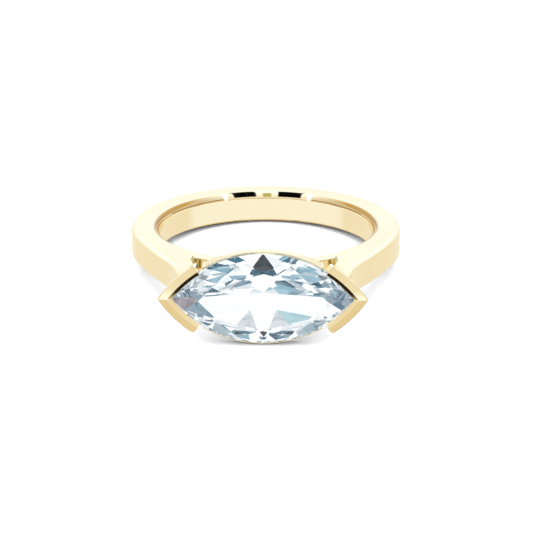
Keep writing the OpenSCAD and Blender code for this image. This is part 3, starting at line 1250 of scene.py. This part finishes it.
@dataclass(frozen=True)
class ClearStone:
    """A colourless stone with polished facets and a bruted girdle."""

    ior: float = 1.76
    clear: Colour = (0.985, 0.995, 1.0)
    frosted: Colour = (0.93, 0.96, 0.98)
    girdle_roughness: float = 0.28
    marks: float = 0.003
    scale: float = 1200.0

    def material(self) -> bpy.types.Material:
        """Makes the finish.

        Returns:
            The material.
        """
        material, net, shader = new_material("clear stone")
        wear = PolishWear().put(net, 0.0, self.marks, self.scale)
        girdle = net.node("ShaderNodeAttribute", attribute_name="girdle").outputs["Fac"]
        matt = net.math("MULTIPLY", girdle, self.girdle_roughness)
        net.fill(shader, {
            "Base Color": net.mix(girdle, self.clear, self.frosted),
            "Transmission Weight": 1.0,
            "IOR": self.ior,
            "Roughness": net.math("ADD", wear["Roughness"], matt, clamp=True),
        })
        return material


@dataclass(frozen=True)
class FloorPaper:
    """The matt white sheet that the ring lies on."""

    white: Colour = (0.90, 0.90, 0.90)
    shade: Colour = (0.89, 0.89, 0.895)
    grain: float = 4000.0
    detail: float = 3.0

    def material(self) -> bpy.types.Material:
        """Makes the finish.

        Returns:
            The material.
        """
        material, net, shader = new_material("floor paper")
        place = net.node("ShaderNodeTexCoord").outputs["Object"]
        noise = net.value("ShaderNodeTexNoise", {"Vector": place, "Scale": self.grain, "Detail": self.detail})
        net.fill(shader, {
            "Base Color": net.mix(noise, self.white, self.shade),
            "Roughness": 1.0,
            "Specular IOR Level": 0.0,
        })
        return material


def new_material(name: str) -> tuple[bpy.types.Material, Net, bpy.types.Node]:
    """Starts a material.

    Args:
        name: Its name.

    Returns:
        The material, its net and its shader node.
    """
    material = bpy.data.materials.new(name)
    material.use_nodes = True
    return material, Net(material.node_tree), material.node_tree.nodes["Principled BSDF"]


@dataclass
class Mounting:
    """All the gold: band, shoulders, half bezels and gallery rails, soldered into one piece."""

    placement: Placement
    outline: StoneOutline
    finish: PolishedGold = PolishedGold()
    crease_deg: float = 32.0
    # Where the painted amber reflection lies: how softly it fades, how far past the finger hole it reaches,
    # and over which part of the sides
    painted_reflection_soft: float = 0.1
    painted_reflection_wide: float = 0.44
    painted_reflection_side: Point = (0.3, 0.75)

    def mark_painted_reflection(self, whole: bpy.types.Object) -> None:
        """Marks the finger hole's upper edge at both sides for a painted reflection: an amber tone in the
        base colour that stands in for the gold mirroring itself there.

        Args:
            whole: The mounting, still on the ring's own axes.
        """
        x, y, z = column(whole.data.vertices, "co", 3).T
        radius = np.hypot(x, y)
        past = radius - self.placement.finger_r
        rise = np.clip(past / self.painted_reflection_soft, 0, 1)
        fall = np.clip((self.painted_reflection_wide - past) / self.painted_reflection_soft, 0, 1)
        low, high = self.painted_reflection_side
        side = np.clip((np.abs(x) / radius - low) / (high - low), 0, 1)
        mark = whole.data.attributes.new("inner_edge", "FLOAT", "POINT")
        mark.data.foreach_set("value", (rise * fall * side * (z > 0)).astype(np.float32))

    def build(self) -> bpy.types.Object:
        """Makes the mounting's pieces, solders them and dresses the whole.

        Returns:
            The finished mounting.
        """
        gold = self.finish.material()
        bezel = HalfBezel(self.outline)
        right, left = bezel.build("bezel_right"), bezel.build("bezel_left")
        left.data.transform(Matrix.Rotation(pi, 4, "Z"))
        rails = GalleryRails(self.outline).build(gold)
        for piece in (right, left, rails):
            piece.data.transform(self.outline.to_ring)
        shank = Shank(self.outline, self.placement.finger_r).build()
        for piece in (shank, right, left, rails):
            log.info("%s: %d faces", piece.name, len(piece.data.polygons))
        whole = fuse([shank, right, left, rails], "ring_mounting")
        self.mark_painted_reflection(whole)
        self.placement.lay(whole)
        smooth_by_rank(whole.data, self.crease_deg)
        whole.data.attributes.remove(whole.data.attributes["rank"])
        whole.data.materials.clear()
        whole.data.materials.append(gold)
        whole.visible_transmission = False
        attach(whole, "root")
        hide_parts("gold_mounting")
        return whole


@dataclass
class Stone:
    """The stone in its seat."""

    placement: Placement
    outline: StoneOutline
    finish: ClearStone = ClearStone()

    def build(self) -> bpy.types.Object:
        """Cuts, places and dresses the stone.

        Returns:
            The finished stone.
        """
        piece = MarquiseStone(self.outline).build()
        mesh = piece.data
        girdle = mesh.attributes.new("girdle", "FLOAT", "FACE")
        rank = column(mesh.attributes["rank"].data, "value", kind=int)
        girdle.data.foreach_set("value", (rank == int(Smoothing.EASED)).astype(np.float32))
        mesh.attributes.remove(mesh.attributes["rank"])
        mesh.transform(self.outline.to_ring)
        self.placement.lay(piece)
        mesh.materials.append(self.finish.material())
        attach(piece, "root")
        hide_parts("marquise_stone")
        return piece


@dataclass(frozen=True)
class MetalCard:
    """A card that the metal mirrors to the camera, by the place where it shows.

    It shows where the metal's direction lies round_back from straight to the front, as a tangent,
    and has up as its upward part.
    """

    round_back: Point
    up: Point
    colour: Colour
    soft: float = 0.02
    strength: float = 1.0

    def mask(self, net: Net, round_back: Socket, up: Socket) -> Socket:
        """Masks the directions that the card fills.

        Args:
            net: The world's nodes.
            round_back: How far round the finger the metal that shows a direction lies.
            up: That metal's upward part.

        Returns:
            The socket that gives the mask, as strong as the card is.
        """
        bands = (net.band(round_back, *self.round_back, self.soft), net.band(up, *self.up, self.soft))
        return net.math("MULTIPLY", net.math("MULTIPLY", *bands), self.strength)


@dataclass(frozen=True)
class StoneCard:
    """A card by the direction from which the facets gather it.

    Angles are in degrees on the ring's axes: azimuth from the front towards +X, and elevation.
    """

    azimuth: float
    elevation: float
    half_wide: float
    half_high: float
    colour: Colour

    def mask(self, net: Net, way: Socket, edge: Point) -> Socket:
        """Masks the directions that the card fills.

        Args:
            net: The world's nodes.
            way: The direction, on the ring's axes.
            edge: The shares of its half width between which the card fades in.

        Returns:
            The socket that gives the mask.
        """
        a, e = radians(self.azimuth), radians(self.elevation)
        to = Vector((sin(a) * cos(e), -cos(a) * cos(e), sin(e)))
        along = Vector((cos(a), sin(a), 0))
        sides = []
        for axis, half in ((along, self.half_wide), (to.cross(along), self.half_high)):
            away = net.math("ABSOLUTE", net.vector("DOT_PRODUCT", way, axis))
            sides.append(net.math("DIVIDE", away, sin(radians(half))))
        near = net.math("GREATER_THAN", net.vector("DOT_PRODUCT", way, to), 0.0)
        return net.math("MULTIPLY", net.ramp(net.math("MAXIMUM", *sides), *edge), near)


@dataclass
class Studio:
    """A pale floor, soft light from all round, and the camera."""

    placement: Placement
    floor_size: float = 6.0
    lift_deg: float = 17.95
    turn_deg: float = 0.9
    distance: float = 1000.0
    aim_right: float = 0.039
    aim_up: float = -2.116
    scale: float = 12.929
    picture: float = 533.0
    sensor: float = 36.0
    bounces: int = 32
    dome: Colour = (2.5, 2.5, 2.5)
    white: Colour = (1, 1, 1)
    warm: Colour = (1.25, 1, 0.5)
    cool: Colour = (0.9, 1, 1.2)
    cool_level: Point = (0.4, 1.35)
    rear_light: tuple[Point, ...] = (
        (-1.0, 0.9), (-0.41, 1.0), (-0.1, 0.92), (0.0, 0.88), (0.04, 1.6), (0.1, 1.6),
        (0.15, 1.0), (0.22, 1.08), (0.31, 1.26), (0.4, 1.5), (1.0, 1.5))
    front_light: tuple[Point, ...] = (
        (-1.0, 0.9), (-0.75, 0.8), (-0.55, 0.8), (-0.45, 0.98), (-0.41, 1.09),
        (-0.31, 1.15), (0.0, 0.94), (0.15, 0.88), (0.35, 1.0), (1.0, 1.3))
    metal_turn: Point = (-0.15, 0.15)
    stone_turn: Point = (0.2, -0.2)
    card_edge: Point = (1.0, 0.85)
    least_front: float = 0.001
    sparkle: MetalCard = MetalCard((0.4, 0.43), (0.1, 0.95), (1.0, 1.0, 1.0), 0.04, 2.0)
    metal_cards: tuple[MetalCard, ...] = (
        MetalCard((-1.0, 1.9), (0.05, 0.12), (1.5, 1.7, 2.1), 0.03, 0.6),
        MetalCard((0.43, 1.9), (0.26, 0.42), (0.4, 0.24, 0.06), 0.08, 0.85),
        MetalCard((0.1, 0.32), (0.4, 0.99), (0.0, 0.0, 0.0), 0.01),
        MetalCard((0.22, 0.33), (-0.34, -0.2), (0.03, 0.02, 0.01), 0.03),
        MetalCard((-1.0, 0.04), (0.35, 0.85), (0.6, 0.55, 0.25), 0.02),
        MetalCard((-1.0, 99.0), (-1.5, -0.5), (0.6, 0.38, 0.16), 0.2, 0.85),
    )
    stone_rear: Colour = (1.13, 1.14, 1.15)
    stone_sheen: Colour = (0.35, 0.38, 0.4)
    cell_scale: float = 6.0
    stone_tones: tuple[tuple[float, Colour], ...] = (
        (0.0, (0.03, 0.1, 0.16)), (0.1, (0.3, 0.52, 0.62)),
        (0.22, (0.82, 0.88, 0.91)), (0.42, (1.2, 1.22, 1.24)))
    stone_cards: tuple[StoneCard, ...] = tuple(StoneCard(*row) for row in (
        (0, 90, 48, 48, (0.02, 0.12, 0.2)),
        (105, 0, 24, 38, (0.05, 0.17, 0.26)),
        (-105, 0, 24, 38, (0.05, 0.17, 0.26)),
        (0, 53, 30, 9, (0.35, 0.55, 0.65)),
        (0, -19, 20, 7, (1.1, 1.12, 1.14)),
        (0, 3, 6, 3, (0.0, 0.01, 0.02)),
        (139, 6, 4, 6, (0.3, 0.25, 0.27)),
        (-135, 7, 6, 8, (0.13, 0.21, 0.28)),
        (-160, 14, 4, 3, (0.42, 0.66, 0.71)),
        (-172, 27, 3, 5, (0.68, 0.73, 0.76)),
        (172, 27, 3, 5, (0.68, 0.73, 0.76)),
        (-76, -69, 12, 9, (0.4, 0.5, 0.56)),
        (73, -69, 12, 9, (0.4, 0.5, 0.56)),
        (32, -13, 5, 6, (0.22, 0.42, 0.52)),
        (-32, -13, 5, 6, (0.1, 0.22, 0.3)),
        (151, -6, 6, 5, (0.3, 0.4, 0.46)),
        (-149, -6, 6, 5, (0.3, 0.4, 0.46)),
        (-62, -4, 8, 5, (0.35, 0.55, 0.66)),
        (60, -3, 8, 5, (0.35, 0.55, 0.66)),
        (-20, -35, 6, 6, (0.12, 0.16, 0.19)),
        (19, -35, 6, 6, (0.2, 0.24, 0.27)),
        (-177, 57, 9, 7, (0.08, 0.14, 0.2)),
        (0, 25, 9, 6, (0.5, 0.6, 0.66)),
        (45, 5, 7, 6, (0.2, 0.3, 0.38)),
        (-22, -3, 5, 4, (0.2, 0.32, 0.4)),
        (-57, 45, 12, 9, (0.12, 0.2, 0.27)),
        (57, 45, 12, 9, (0.12, 0.2, 0.27)),
        (22, 33, 7, 6, (0.18, 0.3, 0.38)),
        (-125, -19, 12, 7, (0.25, 0.36, 0.45)),
        (100, -24, 14, 7, (0.25, 0.36, 0.45)),
        (162, -19, 6, 5, (0.2, 0.3, 0.38)),
        (148, 15, 4, 4, (0.14, 0.26, 0.34)),
        (-8, 9, 5, 3, (0.3, 0.42, 0.5)),
        (-76, -47, 12, 8, (0.12, 0.22, 0.3)),
        (-166, 25, 3, 3, (0.25, 0.36, 0.44)),
    ))

    def back(self) -> Vector:
        """The direction from the ring to the camera, on the ring's axes."""
        lift, turn = radians(self.lift_deg), radians(self.turn_deg)
        return Vector((sin(turn) * cos(lift), -cos(turn) * cos(lift), sin(lift)))

    def floor(self) -> None:
        """Lays the floor sheet under the ring."""
        half = self.floor_size / 2
        mesh = bpy.data.meshes.new("floor_sheet")
        mesh.from_pydata([(-half, -half, 0), (half, -half, 0), (half, half, 0), (-half, half, 0)], [],
                         [(0, 1, 2, 3)])
        mesh.materials.append(FloorPaper().material())
        floor = linked("floor_sheet", mesh)
        floor.visible_glossy = False
        floor.visible_transmission = False

    def camera(self) -> None:
        """Sets the camera at the photograph's angle to the ring."""
        back, turn = self.back(), radians(self.turn_deg)
        right = Vector((cos(turn), sin(turn), 0))
        up = back.cross(right)
        pose = Matrix((right, up, back)).transposed().to_4x4()
        pose.translation = self.aim_right * right + self.aim_up * up + self.distance * back
        data = bpy.data.cameras.new("camera")
        data.sensor_width = self.sensor
        data.lens = self.scale * self.distance * self.sensor / self.picture
        camera = linked("camera", data)
        place = self.placement.on_finger @ pose
        camera.matrix_world = Matrix.LocRotScale(place.to_translation(), place.to_quaternion(), None)
        bpy.context.scene.camera = camera

    def shown(self, net: Net, way: Socket) -> tuple[Socket, Socket]:
        """Finds which metal shows a direction to the camera: metal that faces half-way between the two.

        Args:
            net: The world's nodes.
            way: The direction, on the ring's axes.

        Returns:
            How far round the finger such metal lies from the back, as a tangent, and its upward part.
        """
        x, y, z = net.parts(net.vector("NORMALIZE", net.vector("ADD", way, self.back())))
        front = net.math("MAXIMUM", net.math("MULTIPLY", y, -1.0), self.least_front)
        return net.math("DIVIDE", net.math("ABSOLUTE", x), front), z

    def metal_light(self, net: Net, way: Socket) -> Socket:
        """Lights the metal: a bright wall behind, a softer front, two dark flags and warm gaps between.

        Args:
            net: The world's nodes.
            way: The direction, on the ring's axes.

        Returns:
            The colour of the light from that direction.
        """
        _, y, z = net.parts(way)
        rear, front = net.profile(z, self.rear_light), net.profile(z, self.front_light)
        ahead = net.math("MULTIPLY", net.math("SUBTRACT", rear, front), net.ramp(y, *self.metal_turn))
        shown = self.shown(net, way)
        level = net.math("ADD", net.math("ADD", front, ahead), self.sparkle.mask(net, *shown))
        tint = net.mix(net.ramp(level, *self.cool_level), self.warm, self.cool)
        colour = net.value("ShaderNodeVectorMath", {"Vector": tint, "Scale": level}, operation="SCALE")
        for card in self.metal_cards:
            colour = net.mix(card.mask(net, *shown), colour, card.colour)
        return colour

    def stone_light(self, net: Net, way: Socket) -> Socket:
        """Lights the stone from within: white behind it, cool in front, with small cards for its facets.

        Args:
            net: The world's nodes.
            way: The direction, on the ring's axes.

        Returns:
            The colour of the light from that direction.
        """
        cells = net.node("ShaderNodeTexVoronoi", {"Vector": way, "Scale": self.cell_scale})
        tone = net.value("ShaderNodeSeparateColor", {"Color": cells.outputs["Color"]})
        pieces = net.node("ShaderNodeValToRGB", {"Fac": tone})
        pieces.color_ramp.interpolation = "CONSTANT"
        stops = pieces.color_ramp.elements
        while len(stops) < len(self.stone_tones):
            stops.new(1.0)
        for stop, (place, colour) in zip(stops, self.stone_tones):
            stop.position = place
            stop.color = (*colour, 1)
        light = net.mix(net.ramp(net.parts(way)[1], *self.stone_turn), self.stone_rear, pieces.outputs[0])
        for card in self.stone_cards:
            light = net.mix(card.mask(net, way, self.card_edge), light, card.colour)
        return light

    def world(self) -> None:
        """Makes the light: an even dome for the floor, and a studio each for the metal and the stone."""
        world = bpy.data.worlds.new("studio")
        world.use_nodes = True
        bpy.context.scene.world = world
        net = Net(world.node_tree)
        rays = net.node("ShaderNodeLightPath").outputs
        seen = net.node("ShaderNodeTexCoord").outputs["Generated"]
        axes = [self.placement.on_finger.col[i].to_3d().normalized() for i in range(3)]
        way = net.xyz(*(net.vector("DOT_PRODUCT", seen, axis) for axis in axes))
        light = net.mix(rays[Rays.GLOSSY.value], self.dome, self.metal_light(net, way))
        mirrored = net.math("MULTIPLY", rays[Rays.GLOSSY.value], rays[Rays.SINGULAR.value])
        light = net.mix(mirrored, light, self.stone_sheen)
        light = net.mix(rays[Rays.TRANSMISSION.value], light, self.stone_light(net, way))
        light = net.mix(rays[Rays.CAMERA.value], light, self.white)
        net.link(light, world.node_tree.nodes["Background"].inputs["Color"])

    def build(self) -> None:
        """Sets up floor, light and camera, and shows colours as they are."""
        self.floor()
        self.world()
        self.camera()
        scene = bpy.context.scene
        scene.view_settings.view_transform = "Standard"
        scene.cycles.max_bounces = self.bounces
        scene.cycles.glossy_bounces = self.bounces
        scene.cycles.transmission_bounces = self.bounces
        scene.cycles.caustics_reflective = False


def main() -> None:
    """Builds the ring and the studio, and logs each piece's face count."""
    logging.basicConfig(level=logging.INFO, format="%(name)s: %(message)s")
    placement = Placement.from_record(frame["record"])
    outline = StoneOutline()
    for maker in (Mounting(placement, outline), Stone(placement, outline)):
        piece = maker.build()
        log.info("%s: %d faces", piece.name, len(piece.data.polygons))
    Studio(placement).build()


if __name__ == "__main__":
    main()
